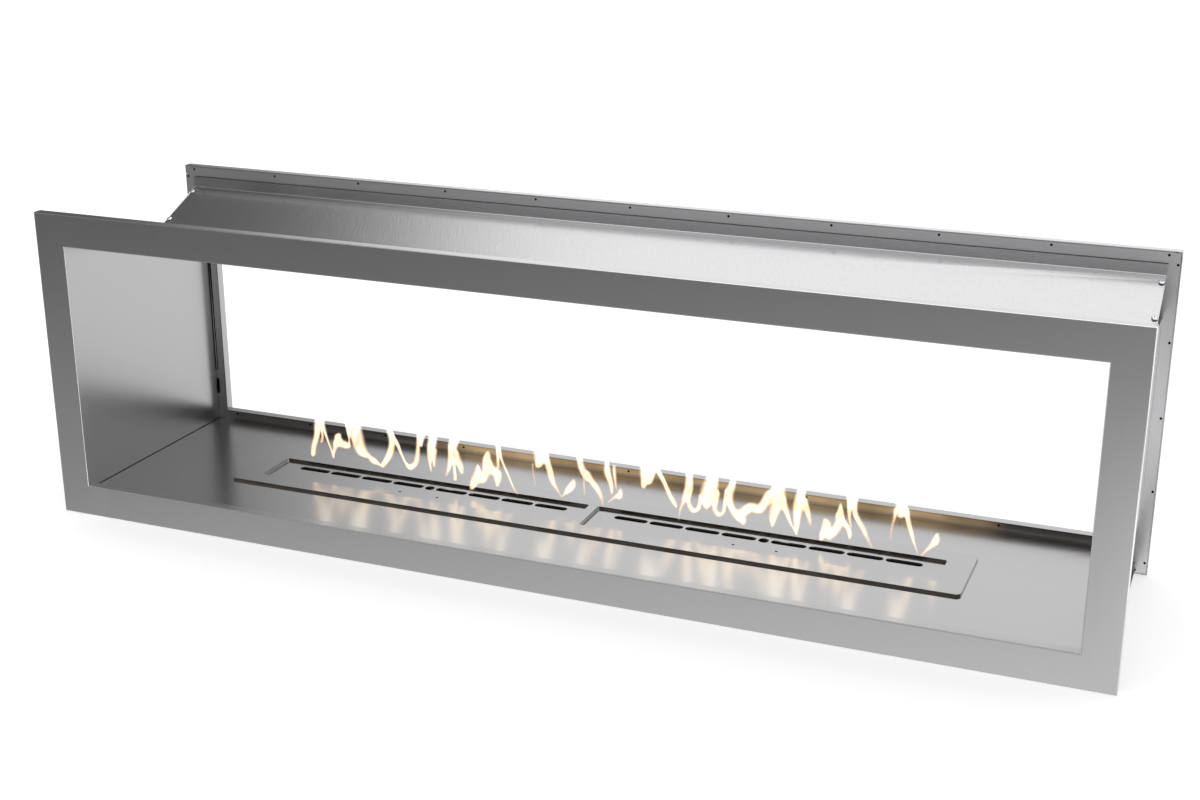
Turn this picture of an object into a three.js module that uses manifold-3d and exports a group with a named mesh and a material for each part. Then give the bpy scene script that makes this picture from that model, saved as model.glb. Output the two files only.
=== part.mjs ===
// A double-sided, see-through fireplace for building into a wall, in brushed stainless steel.
// Millimetres, +Z up, front towards -Y. The origin is the middle of the footprint, at floor level.
// Two decorative frames close the ends of a sheet-steel firebox that is open at the front and the rear.
// Two slotted burners stand in the firebox floor, inside a raised surround plate.

import * as THREE from 'three';
import { mergeVertices } from 'three/addons/utils/BufferGeometryUtils.js';
import Module from 'manifold-3d';

// Whole fireplace
const WIDTH = 1640;
const HEIGHT = 490;
const DEPTH = 410;
const GAP = 0.3; // left between pieces that touch
const OVERRUN = 1; // how far a cut runs past the sheet that it goes through

// Decorative frames: folded channels with a face, an outer return and an inner return
const BORDER = 50;
const FRAME_DEPTH = 16;
const FRAME_SHEET = 1.5;
const RELIEF_WIDTH = 2; // bend reliefs in the edge of the outer return, near each corner
const RELIEF_DEPTH = 2.5;
const RELIEF_FROM_CORNER_X = 10;
const RELIEF_FROM_CORNER_Z = 14.6;

// Mounting frames: flat rings inside the decorative frames, with holes for wall screws
const RING_SHEET = 2;
const HOLE_DIAMETER = 3;
const HOLE_SIDES = 8;
const HOLES_ACROSS = 11;
const HOLES_UP = 5;
const HOLE_EDGE_X = 5; // hole centre to the outer edge of the decorative frame
const HOLE_EDGE_Z = 6;
const HOLE_CORNER_X = 18; // first hole of the top and bottom rows to the side edge
const HOLE_CORNER_Z = 19; // first hole of a side row to the top or bottom edge
const LIP_HOLES = 11;
const LIP_HOLE_MARGIN = 70; // last lip hole to the side edge, which puts the holes 150 apart
const LIP_HOLE_DROP = 5.2; // lip hole centre below the edge of the opening
const SLOT_STRIP = 3.5; // narrow slots beside each side panel
const SLOT_MARGIN = 80; // short slots to the top or bottom edge
const SHORT_SLOT = 28;
const SLOT_SPACING = 15; // steel left between the long slot and a short one

// Firebox skin
const BODY_INSET = 18; // outside of the body to the side edge of the decorative frames
const CAVITY = 15; // outside of the body to the inner face of a side panel
const SKIN_SHEET = 1.5;
const HOOD_TOP_DROP = 18; // top of the hood's upstands below the top of the frames
const HOOD_UPSTAND = 17;
const HOOD_RUN = 100; // length of each sloped part, measured along Y
const HOOD_FALL = 46; // height lost along one sloped part
const COVER_MARGIN = 94.5; // side cover to the top or bottom of the frames
const COVER_NOTCH = 5;
const INSULATION_PLAY = 2;

// Floor and base
const FLOOR_HEIGHT = 34;
const FLOOR_SKIRT = 12;
const BASE_HEIGHT = 2; // underside of the base pan above the ground
const BASE_UPSTAND = 14;
const RAIL_SHEET = 1.2;
const RAIL_WIDTH = 22;
const RAIL_FROM_END = 60; // rail to the inside of the mounting frame
const TRAY_SHEET = 1.2;
const TRAY_MARGIN = 7; // side of the safety tray beyond the floor's cut-outs

// Burner surround: a raised plate with folded edges round two cut-outs
const SURROUND_HEIGHT = 8;
const SURROUND_SHEET = 1.5;
const SURROUND_MARGIN_X = 39.5; // plate beyond the cut-outs
const SURROUND_MARGIN_Y = 32;
const SURROUND_RADIUS = 8;
const BRIDGE = 15; // plate between the two cut-outs
const CUTOUT_RADIUS = 4;
const CUTOUT_DEPTH = 78;
const CORNER_STEPS = 3;

// Burners: a tank, a slotted top, a wool pad and a perforated sheet that holds the wool down
const BURNER_PLAY = 1; // burner to the edge of its cut-out
const FLAME_SLOTS_PER_HALF = 4;
const FLAME_SLOT_LENGTH = 54.5;
const FLAME_SLOT_WIDTH = 13;
const FLAME_SLOT_GAP = 3.5;
const FLAME_SLOT_END_MARGIN = 32.5; // last slot to the end of the cut-out
const FLAME_SLOT_EDGE_MARGIN = 6; // slots to the rear edge of the burner top
const FILL_HOLE_DIAMETER = 16;
const HOOK_HOLE_DIAMETER = 4.5;
const HOOK_HOLE_PITCH = 66.5;
const HOOK_HOLE_SHIFT = -4.3;
const HOOK_HOLE_Y = -6.6;
const TOP_SHEET = 2;
const TOP_RIM_SHEET = 1.2;
const TOP_RIM_DEPTH = 8;
const TANK_SHEET = 1.2;
const WOOL_PLAY = 1;
const MESH_SHEET = 1;
const MESH_TO_TOP = 2.7;
const MESH_HOLE = 30;
const MESH_BAR = 8;

// Hood screws: round-headed, two through each sloped end of the hood
const SCREW_INSET = 5; // screw to the end of the hood
const SCREW_MARGIN = 14.5; // screw to the bend, measured along Y
const SCREW_HEAD_DIAMETER = 9;
const SCREW_HEAD_HEIGHT = 3;
const SCREW_SHANK_DIAMETER = 4;
const SCREW_SHANK_LENGTH = 7;
const SCREW_HOLE_PLAY = 0.4;
const SCREW_SIDES = 10;

// Levels and places that several pieces share
const halfWidth = WIDTH / 2;
const halfDepth = DEPTH / 2;
const openingHalfWidth = halfWidth - BORDER;
const openingBottom = BORDER;
const openingTop = HEIGHT - BORDER;
const ringInnerY = halfDepth - FRAME_DEPTH;
const bodyEndY = ringInnerY - GAP;
const bodyHalfWidth = halfWidth - BODY_INSET;
const panelInnerX = bodyHalfWidth - CAVITY;
const panelOuterX = panelInnerX + SKIN_SHEET;
const baseTop = BASE_HEIGHT + SKIN_SHEET;
const floorUnderside = FLOOR_HEIGHT - SKIN_SHEET;
const halfSlotRow = FLAME_SLOTS_PER_HALF * (FLAME_SLOT_LENGTH + FLAME_SLOT_GAP) + FILL_HOLE_DIAMETER / 2;
const cutoutLength = 2 * (halfSlotRow + FLAME_SLOT_END_MARGIN);
const burnerPitch = cutoutLength + BRIDGE;

const wasm = await Module();
wasm.setup();

// Geometry to solid, with only positions kept so that shared corners merge
function solidOf(geometry) {
  const bare = geometry.index ? geometry.toNonIndexed() : geometry;
  for (const name of Object.keys(bare.attributes)) {
    if (name !== 'position') bare.deleteAttribute(name);
  }
  const merged = mergeVertices(bare);
  const vertProperties = new Float32Array(merged.attributes.position.array);
  const triVerts = new Uint32Array(merged.index.array);
  return new wasm.Manifold(new wasm.Mesh({ numProp: 3, vertProperties, triVerts }));
}

// Box between two corners
function block([x0, x1], [y0, y1], [z0, z1]) {
  const geometry = new THREE.BoxGeometry(x1 - x0, y1 - y0, z1 - z0);
  geometry.translate((x0 + x1) / 2, (y0 + y1) / 2, (z0 + z1) / 2);
  return solidOf(geometry);
}

// Upright prism of a shape drawn in X and Y
function prism(shape, [z0, z1]) {
  const geometry = new THREE.ExtrudeGeometry(shape, {
    depth: z1 - z0, bevelEnabled: false, curveSegments: CORNER_STEPS,
  });
  geometry.translate(0, 0, z0);
  return solidOf(geometry);
}

// Prism along X of an outline drawn in Y and Z
function prismAlongX(outline, [x0, x1]) {
  const shape = new THREE.Shape(outline.map(([y, z]) => new THREE.Vector2(y, z)));
  const geometry = new THREE.ExtrudeGeometry(shape, { depth: x1 - x0, bevelEnabled: false });
  const turn = new THREE.Matrix4().makeBasis(
    new THREE.Vector3(0, 1, 0), new THREE.Vector3(0, 0, 1), new THREE.Vector3(1, 0, 0),
  );
  geometry.applyMatrix4(turn);
  geometry.translate(x0, 0, 0);
  return solidOf(geometry);
}

// Round bar between two heights, turned onto Y for holes in upright sheets
function roundBar(diameter, sides, [a, b], alongY) {
  const geometry = new THREE.CylinderGeometry(diameter / 2, diameter / 2, b - a, sides);
  geometry.translate(0, (a + b) / 2, 0);
  if (!alongY) geometry.rotateX(Math.PI / 2);
  return solidOf(geometry);
}

// Rectangle with rounded corners, centred
function roundedRectangle(length, depth, radius) {
  const x = length / 2;
  const y = depth / 2;
  const shape = new THREE.Shape();
  shape.moveTo(-x + radius, -y);
  shape.lineTo(x - radius, -y);
  shape.absarc(x - radius, -y + radius, radius, -Math.PI / 2, 0);
  shape.lineTo(x, y - radius);
  shape.absarc(x - radius, y - radius, radius, 0, Math.PI / 2);
  shape.lineTo(-x + radius, y);
  shape.absarc(-x + radius, y - radius, radius, Math.PI / 2, Math.PI);
  shape.lineTo(-x, -y + radius);
  shape.absarc(-x + radius, -y + radius, radius, Math.PI, 1.5 * Math.PI);
  return shape;
}

// Open line moved sideways to its right, with mitred bends
function offsetLine(line, distance) {
  const normals = line.slice(1).map(([y, z], i) => {
    const run = y - line[i][0];
    const rise = z - line[i][1];
    const length = Math.hypot(run, rise);
    return [rise / length, -run / length];
  });
  return line.map(([y, z], i) => {
    const before = normals[Math.max(i - 1, 0)];
    const after = normals[Math.min(i, normals.length - 1)];
    const stretch = 1 + before[0] * after[0] + before[1] * after[1];
    const moveY = distance * (before[0] + after[0]) / stretch;
    const moveZ = distance * (before[1] + after[1]) / stretch;
    return [y + moveY, z + moveZ];
  });
}

// Band between a line and its offset
function sheetOutline(line, from, to) {
  return [...offsetLine(line, from), ...offsetLine(line, to).reverse()];
}

function subtractAll(solid, cuts) {
  return cuts.reduce((left, cut) => left.subtract(cut), solid);
}

function addAll(solids) {
  return solids.reduce((sum, solid) => sum.add(solid));
}

// Places in a row centred on zero
function row(count, pitch) {
  return Array.from({ length: count }, (_, i) => (i - (count - 1) / 2) * pitch);
}

// Decorative frame, drawn for the rear: face outwards, channel open towards the firebox
function decorativeFrame() {
  const across = [ringInnerY, halfDepth];
  const through = [ringInnerY - OVERRUN, halfDepth + OVERRUN];
  const channel = [ringInnerY - OVERRUN, halfDepth - FRAME_SHEET];
  const plate = block([-halfWidth, halfWidth], across, [0, HEIGHT]);
  const opening = block([-openingHalfWidth, openingHalfWidth], through, [openingBottom, openingTop]);
  const innerX = openingHalfWidth + FRAME_SHEET;
  const outerX = halfWidth - FRAME_SHEET;
  const hollow = block([-outerX, outerX], channel, [FRAME_SHEET, HEIGHT - FRAME_SHEET])
    .subtract(block([-innerX, innerX], through, [openingBottom - FRAME_SHEET, openingTop + FRAME_SHEET]));
  return subtractAll(plate, [opening, hollow, ...cornerReliefs()]);
}

// Small notches where the returns were cut free for folding
function cornerReliefs() {
  const notchY = [ringInnerY - OVERRUN, ringInnerY + RELIEF_DEPTH];
  const half = RELIEF_WIDTH / 2;
  const reliefs = [];
  for (const side of [-1, 1]) {
    const x = side * (halfWidth - RELIEF_FROM_CORNER_X);
    const outside = side * (halfWidth - FRAME_SHEET / 2);
    const reach = FRAME_SHEET / 2 + OVERRUN;
    reliefs.push(block([x - half, x + half], notchY, [-OVERRUN, FRAME_SHEET + OVERRUN]));
    reliefs.push(block([x - half, x + half], notchY, [HEIGHT - FRAME_SHEET - OVERRUN, HEIGHT + OVERRUN]));
    for (const z of [RELIEF_FROM_CORNER_Z, HEIGHT - RELIEF_FROM_CORNER_Z]) {
      reliefs.push(block([outside - reach, outside + reach], notchY, [z - half, z + half]));
    }
  }
  return reliefs;
}

// Mounting frame, drawn for the rear: a flat ring seated between the returns of the decorative frame
function mountingFrame() {
  const sheet = [ringInnerY, ringInnerY + RING_SHEET];
  const through = [sheet[0] - OVERRUN, sheet[1] + OVERRUN];
  const outerX = halfWidth - FRAME_SHEET - GAP;
  const outerZ = [FRAME_SHEET + GAP, HEIGHT - FRAME_SHEET - GAP];
  const innerX = openingHalfWidth + FRAME_SHEET + GAP;
  const innerZ = [openingBottom - FRAME_SHEET - GAP, openingTop + FRAME_SHEET + GAP];
  const ring = block([-outerX, outerX], sheet, outerZ).subtract(block([-innerX, innerX], through, innerZ));
  const hole = roundBar(HOLE_DIAMETER, HOLE_SIDES, through, true);
  const holes = wallHolePlaces().concat(lipHolePlaces()).map(([x, z]) => hole.translate([x, 0, z]));
  return subtractAll(ring, [...holes, ...sideSlots(through)]);
}

// Screw holes near the outer edge, all round
function wallHolePlaces() {
  const places = [];
  const pitchX = (WIDTH - 2 * HOLE_CORNER_X) / (HOLES_ACROSS - 1);
  const pitchZ = (HEIGHT - 2 * HOLE_CORNER_Z) / (HOLES_UP - 1);
  for (const x of row(HOLES_ACROSS, pitchX)) {
    places.push([x, HOLE_EDGE_Z], [x, HEIGHT - HOLE_EDGE_Z]);
  }
  for (const z of row(HOLES_UP, pitchZ)) {
    places.push([-halfWidth + HOLE_EDGE_X, HEIGHT / 2 + z], [halfWidth - HOLE_EDGE_X, HEIGHT / 2 + z]);
  }
  return places;
}

// Holes along the lip between the floor and the opening
function lipHolePlaces() {
  const pitch = (WIDTH - 2 * LIP_HOLE_MARGIN) / (LIP_HOLES - 1);
  return row(LIP_HOLES, pitch).map((x) => [x, openingBottom - LIP_HOLE_DROP]);
}

// One long and two short slots beside each side panel
function sideSlots(through) {
  const shortEnd = SLOT_MARGIN + SHORT_SLOT;
  const longStart = shortEnd + SLOT_SPACING;
  const spans = [
    [SLOT_MARGIN, shortEnd], [longStart, HEIGHT - longStart], [HEIGHT - shortEnd, HEIGHT - SLOT_MARGIN],
  ];
  return [-1, 1].flatMap((side) => spans.map((span) => {
    const edges = [side * panelInnerX, side * (panelInnerX - SLOT_STRIP)];
    return block([Math.min(...edges), Math.max(...edges)], through, span);
  }));
}

// Upper surface of the hood: upstand, slope down, flat middle, slope up, upstand
const hoodEndY = bodyEndY - SKIN_SHEET;
const hoodTop = HEIGHT - HOOD_TOP_DROP;
const hoodBend = hoodTop - HOOD_UPSTAND;
const hoodFlatY = hoodEndY - HOOD_RUN;
const hoodFlat = hoodBend - HOOD_FALL;
const hoodLine = [
  [-hoodEndY, hoodTop], [-hoodEndY, hoodBend], [-hoodFlatY, hoodFlat],
  [hoodFlatY, hoodFlat], [hoodEndY, hoodBend], [hoodEndY, hoodTop],
];
const hoodSlope = Math.atan2(HOOD_FALL, HOOD_RUN);

// Places of the hood screws on the upper surface: side, end and distance along the slope
function screwFrames() {
  const frames = [];
  for (const side of [-1, 1]) {
    for (const end of [-1, 1]) {
      for (const run of [SCREW_MARGIN, HOOD_RUN - SCREW_MARGIN]) {
        const place = new THREE.Matrix4().makeTranslation(
          side * (bodyHalfWidth - SCREW_INSET), end * (hoodEndY - run), hoodBend - run * Math.tan(hoodSlope),
        );
        frames.push(place.multiply(new THREE.Matrix4().makeRotationX(end * hoodSlope)));
      }
    }
  }
  return frames;
}

function placed(solid, matrix) {
  return solid.transform(matrix.elements);
}

function screwHoles() {
  const reach = 2 * SKIN_SHEET + SCREW_SHANK_DIAMETER;
  const drill = roundBar(SCREW_SHANK_DIAMETER + 2 * SCREW_HOLE_PLAY, SCREW_SIDES, [-reach, reach], false);
  return screwFrames().map((frame) => placed(drill, frame));
}

// Top of the firebox: one folded sheet, low in the middle so that warm air leaves at both openings
function hood() {
  const sheet = prismAlongX(sheetOutline(hoodLine, 0, SKIN_SHEET), [-bodyHalfWidth, bodyHalfWidth]);
  return subtractAll(sheet, screwHoles());
}

// Screw with a domed head, standing upright with the hood's surface at zero
const domeShares = [[1, 0], [1, 0.5], [0.72, 0.88], [0, 1]]; // of the head's radius and height

function hoodScrew() {
  const shank = SCREW_SHANK_DIAMETER / 2;
  const head = domeShares.map(([across, up]) => (
    [across * SCREW_HEAD_DIAMETER / 2, GAP + up * SCREW_HEAD_HEIGHT]
  ));
  const profile = [
    [0, -SCREW_SHANK_LENGTH], [shank, -SCREW_SHANK_LENGTH], [shank, GAP], ...head,
  ].map(([x, y]) => new THREE.Vector2(x, y));
  const lathe = new THREE.LatheGeometry(profile, SCREW_SIDES);
  lathe.rotateX(Math.PI / 2);
  return solidOf(lathe);
}

// Side panel, drawn for the right: an inner wall with a foot and a folded top edge that carries the hood
function sidePanel() {
  const top = SKIN_SHEET + GAP;
  const foot = baseTop + GAP;
  const wall = [[bodyEndY, foot], [-bodyEndY, foot], ...offsetLine(hoodLine, top).slice(1, -1)];
  const edge = sheetOutline(hoodLine.slice(1, -1), top, top + SKIN_SHEET);
  const within = block([0, bodyHalfWidth], [-bodyEndY, bodyEndY], [foot, HEIGHT]);
  const panel = addAll([
    prismAlongX(wall, [panelInnerX, panelOuterX]),
    prismAlongX(edge, [panelInnerX, bodyHalfWidth]),
    block([panelInnerX, bodyHalfWidth], [-bodyEndY, bodyEndY], [foot, foot + SKIN_SHEET]),
  ]);
  const upstandY = bodyEndY - SKIN_SHEET - GAP;
  const upstandTop = baseTop + BASE_UPSTAND + GAP;
  const corners = [[-halfDepth, -upstandY], [upstandY, halfDepth]].map((y) => (
    block([0, halfWidth], y, [0, upstandTop])
  ));
  return subtractAll(panel.intersect(within), [...corners, ...screwHoles()]);
}

// Side cover, drawn for the right: a shallow pan that closes the insulated cavity
function sideCover() {
  const z = [COVER_MARGIN, HEIGHT - COVER_MARGIN];
  const insideX = [panelOuterX + GAP - OVERRUN, bodyHalfWidth - SKIN_SHEET];
  const pan = block([panelOuterX + GAP, bodyHalfWidth], [-bodyEndY, bodyEndY], z);
  const hollow = block(insideX, [-DEPTH, DEPTH], [z[0] + SKIN_SHEET, z[1] - SKIN_SHEET]);
  const notches = [];
  for (const y of [-bodyEndY, bodyEndY]) {
    for (const end of z) {
      notches.push(block([panelInnerX, halfWidth], [y - COVER_NOTCH, y + COVER_NOTCH],
        [end - COVER_NOTCH, end + COVER_NOTCH]));
    }
  }
  return subtractAll(pan, [hollow, ...notches]);
}

// Ceramic-fibre board in the cavity
function sideInsulation() {
  const inset = COVER_MARGIN + SKIN_SHEET + GAP;
  return block(
    [panelOuterX + GAP, bodyHalfWidth - SKIN_SHEET - GAP],
    [-bodyEndY + INSULATION_PLAY, bodyEndY - INSULATION_PLAY],
    [inset, HEIGHT - inset],
  );
}

// Base pan: the lowest sheet, with upstands against the mounting frames
function basePan() {
  const upstandY = bodyEndY - SKIN_SHEET;
  const pan = block([-bodyHalfWidth, bodyHalfWidth], [-bodyEndY, bodyEndY],
    [BASE_HEIGHT, baseTop + BASE_UPSTAND]);
  const hollow = block([-WIDTH, WIDTH], [-upstandY, upstandY], [baseTop, HEIGHT]);
  return pan.subtract(hollow);
}

// Channel that carries the floor, open towards the middle
function floorRail() {
  const outer = bodyEndY - RAIL_FROM_END;
  const rail = block([-panelInnerX + GAP, panelInnerX - GAP], [outer - RAIL_WIDTH, outer],
    [baseTop + GAP, floorUnderside - GAP]);
  const hollow = block([-WIDTH, WIDTH], [0, outer - RAIL_SHEET],
    [baseTop + GAP + RAIL_SHEET, floorUnderside - GAP - RAIL_SHEET]);
  return rail.subtract(hollow);
}

// The two cut-outs for the burners, over the given heights
function cutouts(grow, z) {
  const shape = roundedRectangle(cutoutLength + 2 * grow, CUTOUT_DEPTH + 2 * grow, CUTOUT_RADIUS + grow);
  const cut = prism(shape, z);
  return [cut.translate([-burnerPitch / 2, 0, 0]), cut.translate([burnerPitch / 2, 0, 0])];
}

// Firebox floor, with skirts turned down at the front and the rear
function floorPlate() {
  const skirtY = bodyEndY - SKIN_SHEET;
  const plate = block([-panelInnerX + GAP, panelInnerX - GAP], [-bodyEndY, bodyEndY],
    [floorUnderside - FLOOR_SKIRT, FLOOR_HEIGHT]);
  const hollow = block([-WIDTH, WIDTH], [-skirtY, skirtY], [0, floorUnderside]);
  return subtractAll(plate, [hollow, ...cutouts(0, [0, HEIGHT])]);
}

// Tray under the burners that would hold spilt fuel
function safetyTray() {
  const x = (burnerPitch + cutoutLength) / 2 + TRAY_MARGIN;
  const y = CUTOUT_DEPTH / 2 + TRAY_MARGIN;
  const z = [baseTop + GAP, floorUnderside - GAP];
  const inner = block([-x + TRAY_SHEET, x - TRAY_SHEET], [-y + TRAY_SHEET, y - TRAY_SHEET],
    [z[0] + TRAY_SHEET, z[1] + OVERRUN]);
  return block([-x, x], [-y, y], z).subtract(inner);
}

// Surround: an upside-down pan with folded edges round the outside and round both cut-outs
function burnerSurround() {
  const length = burnerPitch + cutoutLength + 2 * SURROUND_MARGIN_X;
  const depth = CUTOUT_DEPTH + 2 * SURROUND_MARGIN_Y;
  const bottom = FLOOR_HEIGHT + GAP;
  const top = FLOOR_HEIGHT + SURROUND_HEIGHT;
  const pan = prism(roundedRectangle(length, depth, SURROUND_RADIUS), [bottom, top]);
  const inside = roundedRectangle(length - 2 * SURROUND_SHEET, depth - 2 * SURROUND_SHEET,
    SURROUND_RADIUS - SURROUND_SHEET);
  const hollow = subtractAll(prism(inside, [bottom - OVERRUN, top - SURROUND_SHEET]),
    cutouts(SURROUND_SHEET, [0, HEIGHT]));
  return subtractAll(pan, [hollow, ...cutouts(0, [0, HEIGHT])]);
}

// Burner pieces, drawn about the middle of the burner with its underside at zero
const burnerBottom = baseTop + GAP + TRAY_SHEET + GAP;
const burnerTop = FLOOR_HEIGHT - burnerBottom;
const topLength = cutoutLength - 2 * BURNER_PLAY;
const topDepth = CUTOUT_DEPTH - 2 * BURNER_PLAY;
const tankLength = topLength - 2 * (TOP_RIM_SHEET + GAP);
const tankDepth = topDepth - 2 * (TOP_RIM_SHEET + GAP);
const tankTop = burnerTop - TOP_SHEET - GAP;
const meshTop = burnerTop - TOP_SHEET - MESH_TO_TOP;
const padLength = tankLength - 2 * (TANK_SHEET + WOOL_PLAY);
const padDepth = tankDepth - 2 * (TANK_SHEET + WOOL_PLAY);
const slotRowY = topDepth / 2 - FLAME_SLOT_EDGE_MARGIN - FLAME_SLOT_WIDTH / 2;

// Box of the given length and depth, centred
function centredBlock(length, depth, z) {
  return block([-length / 2, length / 2], [-depth / 2, depth / 2], z);
}

function burnerTank() {
  const inside = centredBlock(tankLength - 2 * TANK_SHEET, tankDepth - 2 * TANK_SHEET,
    [TANK_SHEET, tankTop + OVERRUN]);
  return centredBlock(tankLength, tankDepth, [0, tankTop]).subtract(inside);
}

function burnerWool() {
  return centredBlock(padLength, padDepth, [TANK_SHEET + GAP, meshTop - MESH_SHEET - GAP]);
}

// Perforated sheet with rows of square holes
function burnerMesh() {
  const pitch = MESH_HOLE + MESH_BAR;
  const columns = Math.floor((padLength - MESH_BAR) / pitch);
  const rows = Math.floor((padDepth - MESH_BAR) / pitch);
  const through = [meshTop - MESH_SHEET - OVERRUN, meshTop + OVERRUN];
  const hole = centredBlock(MESH_HOLE, MESH_HOLE, through);
  const holes = [];
  for (const x of row(columns, pitch)) {
    for (const y of row(rows, pitch)) holes.push(hole.translate([x, y, 0]));
  }
  return subtractAll(centredBlock(padLength, padDepth, [meshTop - MESH_SHEET, meshTop]), holes);
}

// Slotted top: a flat lid with a rim that fits round the tank
function burnerTopPlate() {
  const radius = CUTOUT_RADIUS - BURNER_PLAY;
  const lid = prism(roundedRectangle(topLength, topDepth, radius), [burnerTop - TOP_RIM_DEPTH, burnerTop]);
  const inside = centredBlock(topLength - 2 * TOP_RIM_SHEET, topDepth - 2 * TOP_RIM_SHEET,
    [0, burnerTop - TOP_SHEET]);
  const through = [0, burnerTop + OVERRUN];
  const slot = prism(roundedRectangle(FLAME_SLOT_LENGTH, FLAME_SLOT_WIDTH, FLAME_SLOT_WIDTH / 2), through);
  const first = FILL_HOLE_DIAMETER / 2 + FLAME_SLOT_GAP + FLAME_SLOT_LENGTH / 2;
  const cuts = [inside, roundBar(FILL_HOLE_DIAMETER, 2 * HOLE_SIDES, through, false)
    .translate([0, slotRowY, 0])];
  for (let i = 0; i < FLAME_SLOTS_PER_HALF; i++) {
    const x = first + i * (FLAME_SLOT_LENGTH + FLAME_SLOT_GAP);
    cuts.push(slot.translate([-x, slotRowY, 0]), slot.translate([x, slotRowY, 0]));
  }
  const hook = roundBar(HOOK_HOLE_DIAMETER, HOLE_SIDES, through, false);
  for (const side of [-1, 1]) {
    cuts.push(hook.translate([HOOK_HOLE_SHIFT + side * HOOK_HOLE_PITCH / 2, HOOK_HOLE_Y, 0]));
  }
  return subtractAll(lid, cuts);
}

// Materials, one maker for each finish, so that every mesh has its own
const finishes = {
  brushedSteel: () => new THREE.MeshStandardMaterial({ color: 0xb8b8ba, roughness: 0.34, metalness: 1 }),
  plainSteel: () => new THREE.MeshStandardMaterial({ color: 0x9a9a9c, roughness: 0.45, metalness: 1 }),
  screwSteel: () => new THREE.MeshStandardMaterial({ color: 0xd0d0d2, roughness: 0.22, metalness: 1 }),
  fibreBoard: () => new THREE.MeshStandardMaterial({ color: 0xe8e4da, roughness: 0.95, metalness: 0 }),
};

// Solid to named mesh
function part(name, solid, finish) {
  const { vertProperties, triVerts, numProp } = solid.getMesh();
  const geometry = new THREE.BufferGeometry();
  const positions = new Float32Array(vertProperties.length / numProp * 3);
  for (let i = 0; i < positions.length / 3; i++) {
    positions.set(vertProperties.subarray(i * numProp, i * numProp + 3), 3 * i);
  }
  geometry.setAttribute('position', new THREE.BufferAttribute(positions, 3));
  geometry.setIndex(new THREE.BufferAttribute(new Uint32Array(triVerts), 1));
  geometry.computeVertexNormals();
  const mesh = new THREE.Mesh(geometry, finishes[finish]());
  mesh.name = name;
  return mesh;
}

const fireplace = new THREE.Group();

// Both ends are alike, so the front one is the rear one turned round
for (const [end, turn] of [['rear', 0], ['front', Math.PI]]) {
  const group = new THREE.Group();
  group.rotation.z = turn;
  group.add(part(`${end}_fascia`, decorativeFrame(), 'brushedSteel'));
  group.add(part(`${end}_mounting_frame`, mountingFrame(), 'brushedSteel'));
  group.add(part(`floor_rail_${end}`, floorRail(), 'plainSteel'));
  fireplace.add(group);
}

// The left side is the right one turned round
for (const [side, turn] of [['right', 0], ['left', Math.PI]]) {
  const group = new THREE.Group();
  group.rotation.z = turn;
  group.add(part(`inner_side_panel_${side}`, sidePanel(), 'brushedSteel'));
  group.add(part(`outer_side_cover_${side}`, sideCover(), 'plainSteel'));
  group.add(part(`side_insulation_${side}`, sideInsulation(), 'fibreBoard'));
  fireplace.add(group);
}

fireplace.add(part('top_hood', hood(), 'brushedSteel'));
screwFrames().forEach((frame, i) => {
  const screw = part(`hood_screw_${i + 1}`, hoodScrew(), 'screwSteel');
  screw.applyMatrix4(frame);
  fireplace.add(screw);
});
fireplace.add(part('base_pan', basePan(), 'plainSteel'));
fireplace.add(part('safety_tray', safetyTray(), 'plainSteel'));
fireplace.add(part('floor_plate', floorPlate(), 'brushedSteel'));
fireplace.add(part('burner_surround', burnerSurround(), 'brushedSteel'));

for (const [side, sign] of [['left', -1], ['right', 1]]) {
  const burner = new THREE.Group();
  burner.position.set(sign * burnerPitch / 2, 0, burnerBottom);
  burner.add(part(`burner_tank_${side}`, burnerTank(), 'plainSteel'));
  burner.add(part(`burner_wool_${side}`, burnerWool(), 'fibreBoard'));
  burner.add(part(`burner_mesh_${side}`, burnerMesh(), 'plainSteel'));
  burner.add(part(`burner_top_${side}`, burnerTopPlate(), 'brushedSteel'));
  fireplace.add(burner);
}

export default fireplace;
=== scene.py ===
import math

import bmesh
import bpy
from mathutils import Matrix, Vector


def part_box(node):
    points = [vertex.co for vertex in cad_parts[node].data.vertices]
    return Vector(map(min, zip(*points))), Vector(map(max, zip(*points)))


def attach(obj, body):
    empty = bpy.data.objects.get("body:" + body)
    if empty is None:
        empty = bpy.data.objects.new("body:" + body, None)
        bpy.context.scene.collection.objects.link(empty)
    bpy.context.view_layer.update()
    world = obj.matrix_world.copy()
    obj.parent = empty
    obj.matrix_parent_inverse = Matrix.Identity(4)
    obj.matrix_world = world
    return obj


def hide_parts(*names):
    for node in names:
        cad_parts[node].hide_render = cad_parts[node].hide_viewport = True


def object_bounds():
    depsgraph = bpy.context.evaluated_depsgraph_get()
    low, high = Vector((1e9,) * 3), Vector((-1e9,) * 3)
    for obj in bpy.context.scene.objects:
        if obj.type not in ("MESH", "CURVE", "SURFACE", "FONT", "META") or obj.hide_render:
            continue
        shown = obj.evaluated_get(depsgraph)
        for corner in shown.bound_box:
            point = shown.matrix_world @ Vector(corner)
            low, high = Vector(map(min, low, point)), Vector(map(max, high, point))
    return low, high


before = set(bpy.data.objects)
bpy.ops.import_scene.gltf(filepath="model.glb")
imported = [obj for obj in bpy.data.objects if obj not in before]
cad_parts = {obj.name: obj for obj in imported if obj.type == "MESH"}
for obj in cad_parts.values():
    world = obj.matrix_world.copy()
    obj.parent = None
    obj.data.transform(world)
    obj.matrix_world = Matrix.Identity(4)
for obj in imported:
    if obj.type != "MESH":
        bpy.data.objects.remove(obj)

cad_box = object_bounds()
mm = 0.001


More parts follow.
